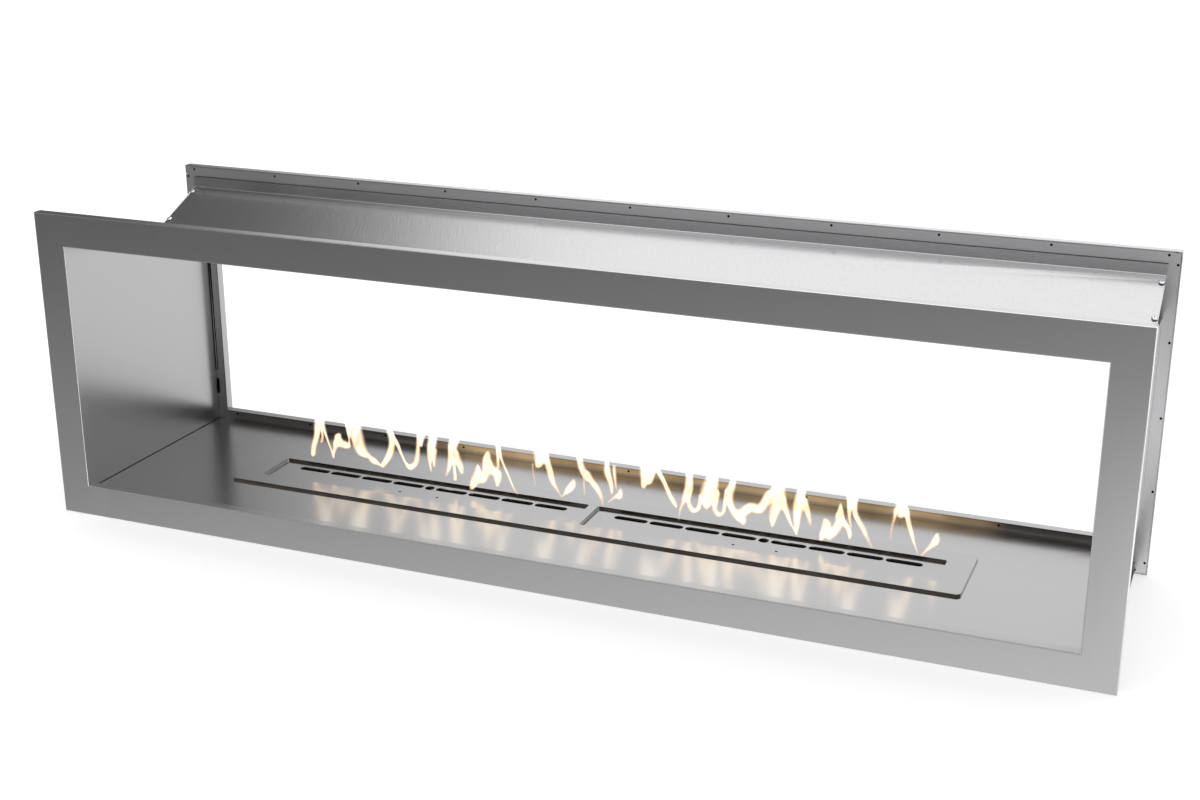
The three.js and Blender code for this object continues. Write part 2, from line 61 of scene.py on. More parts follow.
# Base pan: the lowest sheet of the body, cut from stainless steel with the dull finish of the rolling mill
# and folded on a press brake, so its bends are round and its cut edges sharp. Its front and rear edges
# turn up against the mounting frames.
bend_radius = 1.2 * mm
bend_steps = 3
bend_least_angle = math.radians(20)
joined_within = 0.01 * mm
sharp_angle = math.radians(35)
noise_low, noise_high = 0.3, 0.7


def linear(colour):
    """The linear RGBA of an sRGB hex colour."""
    parts = [int(colour[i:i + 2], 16) / 255 for i in (1, 3, 5)]
    return [p / 12.92 if p <= 0.04045 else ((p + 0.055) / 1.055) ** 2.4 for p in parts] + [1]


def add(tree, kind, inputs, **settings):
    """Adds a node with its settings, and links or sets its inputs."""
    node = tree.nodes.new(kind)
    for name, value in settings.items():
        setattr(node, name, value)
    for name, value in inputs.items():
        socket = node.inputs[name]
        if isinstance(value, bpy.types.NodeSocket):
            tree.links.new(value, socket)
        else:
            socket.default_value = value
    return node


def new_material(name):
    """An empty material and its node tree."""
    material = bpy.data.materials.new(name)
    material.use_nodes = True
    material.node_tree.nodes.clear()
    return material, material.node_tree


def grain(tree, size, detail, roughness=0.5):
    """Noise in the object's own frame, stretched to a real size along X, Y and Z."""
    place = add(tree, "ShaderNodeTexCoord", {}).outputs["Object"]
    scale = [1 / s for s in size]
    stretched = add(tree, "ShaderNodeMapping", {"Vector": place, "Scale": scale}).outputs["Vector"]
    noise = add(tree, "ShaderNodeTexNoise", {
        "Vector": stretched, "Scale": 1, "Detail": detail, "Roughness": roughness,
    })
    return noise.outputs["Fac"]


def finish_steel(tree, tones, clouds, roughness, marks, relief, smear=0, smear_way=None):
    """Steel on the output of a material. A noise spreads its colour between two tones. The marks of its
    making spread its roughness, and stand as high as relief. Brushing smears what the steel mirrors
    across the scratches, by an amount and along an axis."""
    dark, light = tones
    least, most = roughness
    tone = add(tree, "ShaderNodeMapRange", {
        "Value": clouds, "From Min": noise_low, "From Max": noise_high,
    }).outputs["Result"]
    colour = add(tree, "ShaderNodeMix", {
        "Factor": tone, "A": linear(dark), "B": linear(light),
    }, data_type="RGBA").outputs["Result"]
    rough = add(tree, "ShaderNodeMapRange", {
        "Value": marks, "From Min": noise_low, "From Max": noise_high, "To Min": least, "To Max": most,
    }).outputs["Result"]
    normal = add(tree, "ShaderNodeBump", {
        "Height": marks, "Strength": 1, "Distance": relief,
    }).outputs["Normal"]
    steel = add(tree, "ShaderNodeBsdfPrincipled", {
        "Base Color": colour, "Metallic": 1, "Roughness": rough, "Normal": normal, "Anisotropic": smear,
    })
    if smear_way:
        way = add(tree, "ShaderNodeCombineXYZ", dict(zip("XYZ", smear_way)))
        tree.links.new(way.outputs["Vector"], steel.inputs["Tangent"])
    add(tree, "ShaderNodeOutputMaterial", {"Surface": steel.outputs["BSDF"]})


def mill_finish_steel():
    """Cold-rolled stainless steel as it leaves the mill: grey and dull, with soft clouds and faint rolling
    lines along the sheet. The lines are drawn some ten times too wide, so that they show."""
    material, tree = new_material("mill_finish_stainless_steel")
    clouds = grain(tree, (60 * mm, 45 * mm, 45 * mm), 3)
    lines = grain(tree, (120 * mm, 1.5 * mm, 1.5 * mm), 2)
    finish_steel(tree, ("#B4B4B5", "#BEBEBF"), clouds, (0.28, 0.36), lines, 0.006 * mm)
    return material


def new_piece(name, bm, *materials):
    """A bmesh as a new object. Its shading is smooth up to its sharp edges, and its normals are weighted,
    so that wide faces stay flat beside round bends."""
    mesh = bpy.data.meshes.new(name)
    bm.to_mesh(mesh)
    bm.free()
    for material in materials:
        mesh.materials.append(material)
    for face in mesh.polygons:
        face.use_smooth = True
    mesh.set_sharp_from_angle(angle=sharp_angle)
    piece = bpy.data.objects.new(name, mesh)
    bpy.context.scene.collection.objects.link(piece)
    normals = piece.modifiers.new("normals", "WEIGHTED_NORMAL")
    normals.keep_sharp = True
    bpy.context.view_layer.update()
    flat = bpy.data.meshes.new_from_object(piece.evaluated_get(bpy.context.evaluated_depsgraph_get()))
    piece.modifiers.clear()
    piece.data = flat
    return piece


def cad_sheet(node):
    """The mesh of a CAD node with its shared corners joined."""
    bm = bmesh.new()
    bm.from_mesh(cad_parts[node].data)
    bmesh.ops.remove_doubles(bm, verts=bm.verts, dist=joined_within)
    return bm


def round_bends(bm, radius, chosen, steps=bend_steps):
    """Rounds the edges that a test picks."""
    edges = [e for e in bm.edges if len(e.link_faces) == 2 and chosen(e)]
    bmesh.ops.bevel(bm, geom=edges, offset=radius, offset_type="OFFSET", segments=steps,
                    profile=0.5, affect="EDGES", clamp_overlap=True)


def long_bend(shortest):
    """A test for the bends and edges of at least a length."""
    return lambda edge: edge.calc_length() > shortest and edge.calc_face_angle() > bend_least_angle


def fit(piece, body, slot, *nodes):
    """The piece rides on a body and stands for CAD nodes, which it hides. Its slot is not used."""
    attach(piece, body)
    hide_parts(*nodes)


mill_steel = mill_finish_steel()
base = cad_sheet("base_pan")
round_bends(base, bend_radius, long_bend(shortest=100 * mm))
fit(new_piece("base_pan_sheet", base, mill_steel), "firebox", "plain_steel", "base_pan")


# Safety tray: a shallow pan under the two burners, which would hold spilt fuel. It is folded from the same
# dull sheet as the base pan, welded at its corners, and stands on the base pan.
tray_bend_radius = 0.6 * mm
tray = cad_sheet("safety_tray")
round_bends(tray, tray_bend_radius, long_bend(shortest=10 * mm))
fit(new_piece("safety_tray_pan", tray, mill_steel), "firebox", "plain_steel", "safety_tray")


# Floor rails: two folded channels that carry the floor, before and behind the burners. They are of the
# same dull sheet and are spot-welded to the base pan.
rail_bend_radius = 0.6 * mm
for end in ("front", "rear"):
    rail = cad_sheet(f"floor_rail_{end}")
    round_bends(rail, rail_bend_radius, long_bend(shortest=100 * mm))
    fit(new_piece(f"floor_rail_{end}_channel", rail, mill_steel), "firebox", "plain_steel",
        f"floor_rail_{end}")


# Side insulation: boards of pressed ceramic fibre, cut with a knife, in the cavities of the side walls.
# The fibre makes them off-white, matte and slightly furry.
def ceramic_fibre():
    """Pressed ceramic fibre: white with a cream cast, soft lumps and short crossing fibres. A real fibre is
    thinner than a hair, so tufts of fibres are drawn instead."""
    material, tree = new_material("ceramic_fibre_board")
    lumps = grain(tree, (14 * mm, 14 * mm, 14 * mm), 3)
    fibres = grain(tree, (2.5 * mm, 0.6 * mm, 0.6 * mm), 4, roughness=0.7)
    tone = add(tree, "ShaderNodeMapRange", {
        "Value": lumps, "From Min": noise_low, "From Max": noise_high,
    }).outputs["Result"]
    colour = add(tree, "ShaderNodeMix", {
        "Factor": tone, "A": linear("#DCD7CA"), "B": linear("#EFEBE1"),
    }, data_type="RGBA").outputs["Result"]
    height = add(tree, "ShaderNodeMath", {0: lumps, 1: fibres}, operation="ADD").outputs["Value"]
    normal = add(tree, "ShaderNodeBump", {
        "Height": height, "Strength": 0.8, "Distance": 0.6 * mm,
    }).outputs["Normal"]
    fibre = add(tree, "ShaderNodeBsdfPrincipled", {
        "Base Color": colour, "Roughness": 0.95, "Sheen Weight": 0.2, "Normal": normal,
    })
    add(tree, "ShaderNodeOutputMaterial", {"Surface": fibre.outputs["BSDF"]})
    return material


fibre_material = ceramic_fibre()
board_edge_radius = 0.8 * mm
for side in ("left", "right"):
    board = cad_sheet(f"side_insulation_{side}")
    round_bends(board, board_edge_radius, long_bend(shortest=5 * mm))
    fit(new_piece(f"side_insulation_{side}_board", board, fibre_material), "firebox", "ceramic_fibre",
        f"side_insulation_{side}")


# Inner side panels: brushed stainless sheet with a foot on the base pan and a folded top edge, which the
# hood is screwed to. The brushing runs upright, so the panel mirrors the opening as a soft, even grey.
along_x, along_y, along_z = 0, 1, 2
scratch_length = 45 * mm
scratch_width = 0.6 * mm        # three times as wide as a belt's scratches, so that they show
scratch_depth = 0.0008 * mm
panel_bend_radius = 0.6 * mm


def brushed_steel(name, tones, axis, length, width, roughness, depth, smear=0, smear_way=None):
    """Stainless steel brushed with a fine belt along an axis: fine scratches of one way, nearly alike in
    colour, that soften what it mirrors."""
    size = [width] * 3
    size[axis] = length
    material, tree = new_material(name)
    scratches = grain(tree, size, 2, roughness=0.6)
    finish_steel(tree, tones, scratches, roughness, scratches, depth, smear, smear_way)
    return material


panel_steel = brushed_steel("stainless_steel_brushed_upright", ("#AEAEAF", "#B1B1B2"), along_z,
                            scratch_length, scratch_width, (0.26, 0.27), scratch_depth)
for side in ("left", "right"):
    panel = cad_sheet(f"inner_side_panel_{side}")
    round_bends(panel, panel_bend_radius, long_bend(shortest=60 * mm))
    fit(new_piece(f"inner_side_panel_{side}_sheet", panel, panel_steel), "firebox", "brushed_skin",
        f"inner_side_panel_{side}")


# Outer side covers: shallow pans of dull sheet, folded on four sides and notched at their corners, which
# close the insulated cavities.
for side in ("left", "right"):
    cover = cad_sheet(f"outer_side_cover_{side}")
    round_bends(cover, bend_radius, long_bend(shortest=20 * mm))
    fit(new_piece(f"outer_side_cover_{side}_pan", cover, mill_steel), "firebox", "plain_steel",
        f"outer_side_cover_{side}")


# Floor plate: stainless sheet with skirts turned down at the front and the rear, laid on the rails with a
# narrow joint at each side. It is brushed along its length, which draws the mirrored flames out towards
# the front.
front_to_rear = (0.02, 1, 0.03)        # a little aslant, so that no face is square to it
flat_smear = 0.45
flat_scratch_depth = 0.0012 * mm
floor_steel = brushed_steel("stainless_steel_brushed_floor", ("#B9B9BA", "#BDBDBE"), along_x,
                            scratch_length, scratch_width, (0.22, 0.25), flat_scratch_depth,
                            flat_smear, front_to_rear)
floor_joint = 1.4 * mm
floor_ends_beyond = 780 * mm
floor_sheet = cad_sheet("floor_plate")
for corner in floor_sheet.verts:
    if abs(corner.co.x) > floor_ends_beyond:
        corner.co.x -= math.copysign(floor_joint, corner.co.x)
round_bends(floor_sheet, bend_radius, long_bend(shortest=500 * mm))
fit(new_piece("floor_plate_sheet", floor_sheet, floor_steel), "firebox", "brushed_skin", "floor_plate")


# Hood: one stainless sheet folded along four lines and brushed along its slope. It is low in the middle, so
# that warm air leaves at both openings. Its upstands leave a narrow seam to the mounting frames, and their
# top cut edges are drawn almost black, partly as the painted shadow line of that seam.
hood_bend_radius = 2 * mm
hood_bend_steps = 4
hood_shortest_bend = 1000 * mm
hood_most_angle = math.radians(80)
turned_fully = 0.9
hood_seam = 1.4 * mm
hood_upstands_beyond = 180 * mm
streak_length = 26 * mm
streak_width = 2.3 * mm        # ten times a scratch: the streaks that scratches look like from afar
streak_depth = 0.13 * mm
hood_steel = brushed_steel("stainless_steel_brushed_hood", ("#B8B8B9", "#BEBEBF"), along_y,
                           streak_length, streak_width, (0.17, 0.2), streak_depth)


def dark_edge_and_painted_shade_steel():
    """The edge that a laser leaves on the sheet: burnt dark brown, with fine upright lines. It also serves
    as painted shade: inside the frames' channels, on bends of the burner surround, and along the hood's
    seam.
    """
    material, tree = new_material("dark_cut_edge_and_painted_shade")
    lines = grain(tree, (0.3 * mm, 0.3 * mm, 3 * mm), 2)
    finish_steel(tree, ("#191512", "#2C2621"), lines, (0.5, 0.65), lines, 0.02 * mm)
    return material


def hood_bend(edge):
    """A test for the four long bends, which are less sharp than the cut edges."""
    return (edge.calc_length() > hood_shortest_bend
            and bend_least_angle < edge.calc_face_angle() < hood_most_angle)


# The dark edge steel serves for laser-cut edges, and as painted shade where other pieces take it.
cut_edge_steel_and_painted_shade = dark_edge_and_painted_shade_steel()
hood = cad_sheet("top_hood")
hood_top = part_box("top_hood")[1][2]
for corner in hood.verts:
    if abs(corner.co.y) > hood_upstands_beyond:
        corner.co.y -= math.copysign(hood_seam, corner.co.y)
round_bends(hood, hood_bend_radius, hood_bend, hood_bend_steps)
# The top cut edges of the upstands take the dark edge steel: a dark cut edge, and partly the painted shadow
# line of the seam.
for face in hood.faces:
    cut_edge = face.normal.z > turned_fully and face.calc_center_median().z > hood_top - mm
    face.material_index = int(cut_edge)
fit(new_piece("top_hood_sheet", hood, hood_steel, cut_edge_steel_and_painted_shade), "firebox", "brushed_skin", "top_hood")


# Hood screws: round-headed machine screws of stainless steel with a hexagon socket, two through the end of
# each slope of the hood into the side panels.
screw_count = 8
screw_head_radius = 4.5 * mm
screw_shank_radius = 2 * mm
screw_shank_length = 7 * mm
screw_seat = 0.3 * mm
screw_head_rim = 0.15 * mm
screw_dome = 1.6 * mm
socket_half_width = 1.25 * mm
socket_depth = 1.6 * mm
socket_chamfer = 0.125 * mm
socket_chamfer_depth = 0.1 * mm
round_sides = 36
dome_steps = 6


def polished_screw_steel():
    """Stainless steel as a cold-headed screw has it: bright, with the faint dents of the heading die."""
    material, tree = new_material("cold_headed_stainless_steel")
    dents = grain(tree, (0.5 * mm, 0.5 * mm, 0.5 * mm), 2)
    finish_steel(tree, ("#D8D8DA", "#E4E4E6"), dents, (0.3, 0.38), dents, 0.004 * mm)
    return material


def hexagon(angle, half_width):
    """The distance from the middle to the side of a hexagon, at an angle."""
    sixth = math.pi / 3
    return half_width / math.cos((angle + sixth / 2) % sixth - sixth / 2)


def ring(bm, radius, z):
    """A closed ring of corners. radius is a number or a function of the angle."""
    corners = []
    for i in range(round_sides):
        angle = 2 * math.pi * i / round_sides
        r = radius(angle) if callable(radius) else radius
        corners.append(bm.verts.new((r * math.cos(angle), r * math.sin(angle), z)))
    return corners


def skin(bm, rings):
    """Faces between each ring and the next."""
    for lower, upper in zip(rings, rings[1:]):
        for i in range(len(lower)):
            j = (i + 1) % len(lower)
            bm.faces.new((lower[i], lower[j], upper[j], upper[i]))


def screw_shape():
    """A screw about its own axis, with the hood's surface at zero."""
    bm = bmesh.new()
    head = screw_seat + screw_head_rim
    profile = [
        (screw_shank_radius, -screw_shank_length), (screw_shank_radius, screw_seat),
        (screw_head_radius, screw_seat), (screw_head_radius, head),
    ]
    for step in range(1, dome_steps):
        angle = math.pi / 2 * step / dome_steps
        profile.append((screw_head_radius * math.cos(angle), head + screw_dome * math.sin(angle)))
    crown = head + screw_dome
    rings = [ring(bm, radius, z) for radius, z in profile]
    for widened, depth in ((socket_chamfer, 0), (0, socket_chamfer_depth), (0, socket_depth)):
        rings.append(ring(bm, lambda angle: hexagon(angle, socket_half_width + widened), crown - depth))
    skin(bm, rings)
    bm.faces.new(rings[-1])
    bm.faces.new(list(reversed(rings[0])))
    bmesh.ops.recalc_face_normals(bm, faces=bm.faces)
    return bm


screw_steel = polished_screw_steel()
hood_run = 100 * mm
hood_fall = 46 * mm
hood_slope = math.atan2(hood_fall, hood_run)
head_middle = (screw_head_rim + screw_dome - screw_shank_length) / 2
for number in range(1, screw_count + 1):
    low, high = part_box(f"hood_screw_{number}")
    middle = (Vector(low) + Vector(high)) / 2
    tilt = Matrix.Rotation(math.copysign(hood_slope, middle.y), 4, "X")
    screw = screw_shape()
    screw.transform(Matrix.Translation(middle) @ tilt @ Matrix.Translation((0, 0, -head_middle)))
    fit(new_piece(f"hood_screw_{number}_socket_head", screw, screw_steel), "firebox", "screw_steel",
        f"hood_screw_{number}")


# Mounting frames: laser-cut rings of brushed sheet behind the decorative frames, with rows of 3 mm holes
# for the wall screws, and slots beside the side panels. Their steel is lighter than the frames' steel:
# painted light. Each hole has a near-black rim round it.
fine_scratch_width = 0.5 * mm
# A lighter copy of the brushed steel: painted light over the whole plate.
painted_light_plate_steel = brushed_steel("painted_light_fine_ground_plate_steel", ("#CECECF", "#D1D1D2"), along_x,
                            scratch_length, fine_scratch_width, (0.28, 0.29), scratch_depth)
top_reach = cad_box[1][2]
hole_radius = 1.38 * mm
dark_rim_radius = 1.95 * mm
dark_rim_height = 0.02 * mm
across_holes, across_pitch, across_inset = 11, 160.4 * mm, 6 * mm
upright_holes, upright_pitch, upright_place = 5, 113 * mm, 815 * mm
lip_holes, lip_pitch, lip_hole_height = 11, 150 * mm, 44.8 * mm


def row(count, pitch):
    """Places along a row about its middle."""
    return [(i - (count - 1) / 2) * pitch for i in range(count)]


def hole_with_dark_rim(bm, x, z, low, high):
    """Adds the round wall and a near-black rim of a hole on Y, between two sides of a sheet, in the sheet's
    second material."""
    hole = bmesh.new()
    near, far = low - dark_rim_height, high + dark_rim_height
    rings = [ring(hole, radius, depth) for radius, depth in (
        (dark_rim_radius, near), (hole_radius, near), (hole_radius, far), (dark_rim_radius, far))]
    skin(hole, rings + rings[:1])
    for face in hole.faces:
        face.material_index = 1
    bmesh.ops.recalc_face_normals(hole, faces=hole.faces)
    hole.transform(Matrix.Translation((x, 0, z)) @ Matrix.Rotation(-math.pi / 2, 4, "X"))
    mesh = bpy.data.meshes.new("hole")
    hole.to_mesh(mesh)
    hole.free()
    bm.from_mesh(mesh)
    bpy.data.meshes.remove(mesh)


screw_holes = [(x, z) for x in row(across_holes, across_pitch)
               for z in (across_inset, top_reach - across_inset)]
screw_holes += [(x, top_reach / 2 + z) for x in (-upright_place, upright_place)
                for z in row(upright_holes, upright_pitch)]
screw_holes += [(x, lip_hole_height) for x in row(lip_holes, lip_pitch)]
for end in ("front", "rear"):
    plate = cad_sheet(f"{end}_mounting_frame")
    low, high = (corner[1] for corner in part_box(f"{end}_mounting_frame"))
    for x, z in screw_holes:
        hole_with_dark_rim(plate, x, z, low, high)
    fit(new_piece(f"{end}_mounting_frame_plate", plate, painted_light_plate_steel, cut_edge_steel_and_painted_shade), "firebox",
        "brushed_frame", f"{end}_mounting_frame")


# Decorative frames: channels folded from brushed sheet, with ground corners, which cover the edge of the
# wall's opening. Their outer returns and the bends beside the opening are a lighter steel, a painted
# highlight, and their tops are lighter too, painted light. The inner returns are brushed with the side
# panels.
side_reach = cad_box[1][0]
frame_steel = brushed_steel("stainless_steel_brushed_frames", ("#B9B9BA", "#BCBCBD"), along_z,
                            scratch_length, scratch_width, (0.28, 0.29), scratch_depth)
# Painted highlight: a lighter copy of the frames' steel for the outer returns and the bends beside the
# opening.
side_steel_painted_highlight = brushed_steel("stainless_steel_sides_painted_highlight", ("#DEDEDF", "#E6E6E7"), along_z,
                             30 * mm, scratch_width, (0.28, 0.34), scratch_depth)
# Painted light: a lighter copy of the frames' steel for the tops, which face up.
top_steel_painted_light = brushed_steel("stainless_steel_top_painted_light", ("#D6D6D7", "#DEDEDF"), along_x,
                                 scratch_length, scratch_width, (0.2, 0.26), flat_scratch_depth)
frame_bend_radius = 1.5 * mm
frame_bend_steps = 4
frame_shortest_bend = 25 * mm
frame_faces_beyond = 200 * mm
turned_a_little, turned_half = 0.3, 0.5
finish_front, finish_side_painted_highlight, finish_top_painted_light, finish_inside_painted_shade, finish_inner_return = range(5)


def frame_bend(edge):
    """A test for the bends round the face of a decorative frame."""
    return (edge.calc_length() > frame_shortest_bend and edge.calc_face_angle() > bend_least_angle
            and all(abs(corner.co.y) > frame_faces_beyond for corner in edge.verts))


def frame_finish(face):
    """Which finish a face of a decorative frame has. The outer returns and the bends between face and
    returns get a painted highlight, and the tops painted light. The inside of the channel is painted shade,
    dark, and shows as black dots through the wall screw holes."""
    normal, middle = face.normal, face.calc_center_median()
    outward = normal.x * middle.x > 0
    outer_side = outward and abs(middle.x) > side_reach - 2 * frame_bend_radius
    if abs(normal.x) > turned_a_little and (outer_side or abs(normal.y) > turned_a_little):
        return finish_side_painted_highlight
    if normal.z > turned_half and middle.z > top_reach - mm:
        return finish_top_painted_light
    if abs(normal.x) > turned_fully and not outward:
        return finish_inner_return
    # The inside of the channel takes the dark edge steel: painted shade.
    if normal.y * middle.y < -turned_half * abs(middle.y) and abs(middle.y) > frame_faces_beyond:
        return finish_inside_painted_shade
    return finish_front


for end in ("front", "rear"):
    channel = cad_sheet(f"{end}_fascia")
    round_bends(channel, frame_bend_radius, frame_bend, frame_bend_steps)
    channel.normal_update()
    for face in channel.faces:
        face.material_index = frame_finish(face)
    fit(new_piece(f"{end}_fascia_channel", channel, frame_steel, side_steel_painted_highlight, top_steel_painted_light, cut_edge_steel_and_painted_shade,
                  panel_steel), "firebox", "brushed_frame", f"{end}_fascia")


# Burner tanks, wool and mesh: a welded steel tank, a pad of ceramic wool that soaks up the fuel, and a
# perforated steel sheet that holds the pad down. Heat has tinted the sheet straw brown.
inner_bend_radius = 0.3 * mm
inner_bend_steps = 2


def heat_tinted_steel():
    """Stainless steel after some hours of flame: straw and brown clouds over grey."""
    material, tree = new_material("heat_tinted_stainless_steel")
    clouds = grain(tree, (30 * mm, 18 * mm, 18 * mm), 4)
    marks = grain(tree, (8 * mm, 1 * mm, 1 * mm), 2)
    finish_steel(tree, ("#3B342C", "#5C5348"), clouds, (0.35, 0.5), marks, 0.02 * mm)
    return material


tinted_steel = heat_tinted_steel()
inner_parts = (
    ("tank", mill_steel, "plain_steel"),
    ("wool", fibre_material, "ceramic_fibre"),
    ("mesh", tinted_steel, "plain_steel"),
)
for side in ("left", "right"):
    for part, material, slot in inner_parts:
        inner = cad_sheet(f"burner_{part}_{side}")
        round_bends(inner, inner_bend_radius, long_bend(shortest=20 * mm), inner_bend_steps)
        fit(new_piece(f"burner_{part}_{side}_formed", inner, material), f"burner_{side}", slot,
            f"burner_{part}_{side}")


# Burner tops: laser-cut lids of stainless sheet with a row of flame slots, a filling hole and two lifting
# holes, brushed along their length. A folded rim fits round the tank.
lid_bend_radius = 0.8 * mm
burner_steel = brushed_steel("stainless_steel_brushed_burner", ("#B5B5B6", "#BABABB"), along_x,
                             40 * mm, fine_scratch_width, (0.22, 0.25), flat_scratch_depth,
                             flat_smear, front_to_rear)
for side in ("left", "right"):
    lid = cad_sheet(f"burner_top_{side}")
    round_bends(lid, lid_bend_radius, long_bend(shortest=60 * mm))
    fit(new_piece(f"burner_top_{side}_lid", lid, burner_steel), f"burner_{side}", "burner_steel",
        f"burner_top_{side}")


# Burner surround: a raised plate of brushed stainless sheet that lies loose on the floor, with edges folded
# down round the outside and round the two burners. Its walls that face forwards and backwards are painted
# dark brownish grey, a painted dark reflection, and its bends that turn to the right and up carry a painted
# shade line. Its corners are slightly round.
surround_corner_radius = 1.6 * mm
surround_bend_radius = 1.2 * mm
surround_bend_steps = 4
surround_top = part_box("burner_surround")[1][2]
surround_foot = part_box("burner_surround")[0][2]
square_corner = math.radians(45)
turned_up_least = 0.1


def painted_dark_reflection_wall_steel():
    """Brushed stainless steel drawn dark brownish grey, in soft clouds: a painted dark reflection on the
    walls that face forwards and backwards.
    """
    material, tree = new_material("stainless_walls_painted_dark_reflection")
    clouds = grain(tree, (40 * mm, 40 * mm, 12 * mm), 3)
    lines = grain(tree, (30 * mm, scratch_width, scratch_width), 2)
    finish_steel(tree, ("#6C655D", "#827A71"), clouds, (0.26, 0.32), lines, 0.001 * mm)
    return material


def upright_corner(edge):
    """A test for the plate's upright corners."""
    rise = abs(edge.verts[0].co.z - edge.verts[1].co.z)
    return rise > (surround_top - surround_foot) / 2 and edge.calc_face_angle() > square_corner


def top_bend(edge):
    """A test for the bends round the top of the plate."""
    on_top = min(corner.co.z for corner in edge.verts) > surround_top - joined_within
    return on_top and edge.calc_face_angle() > square_corner


surround = cad_sheet("burner_surround")
round_bends(surround, surround_corner_radius, upright_corner)
round_bends(surround, surround_bend_radius, top_bend, surround_bend_steps)
surround.normal_update()
# Walls that face forwards and backwards get a painted dark reflection, and bends that turn to the right and
# up a painted shade line.
for face in surround.faces:
    side_painted_dark_reflection = abs(face.normal.y) > turned_fully
    right_bend_painted_shade = face.normal.x > turned_half and face.normal.z > turned_up_least
    face.material_index = int(side_painted_dark_reflection) + 2 * int(right_bend_painted_shade)
surround_plate = new_piece("burner_surround_plate", surround, burner_steel, painted_dark_reflection_wall_steel(), cut_edge_steel_and_painted_shade)
surround_plate.visible_glossy = False        # it would hide the flames' mirror image on the floor
fit(surround_plate, "surround", "burner_steel", "burner_surround")
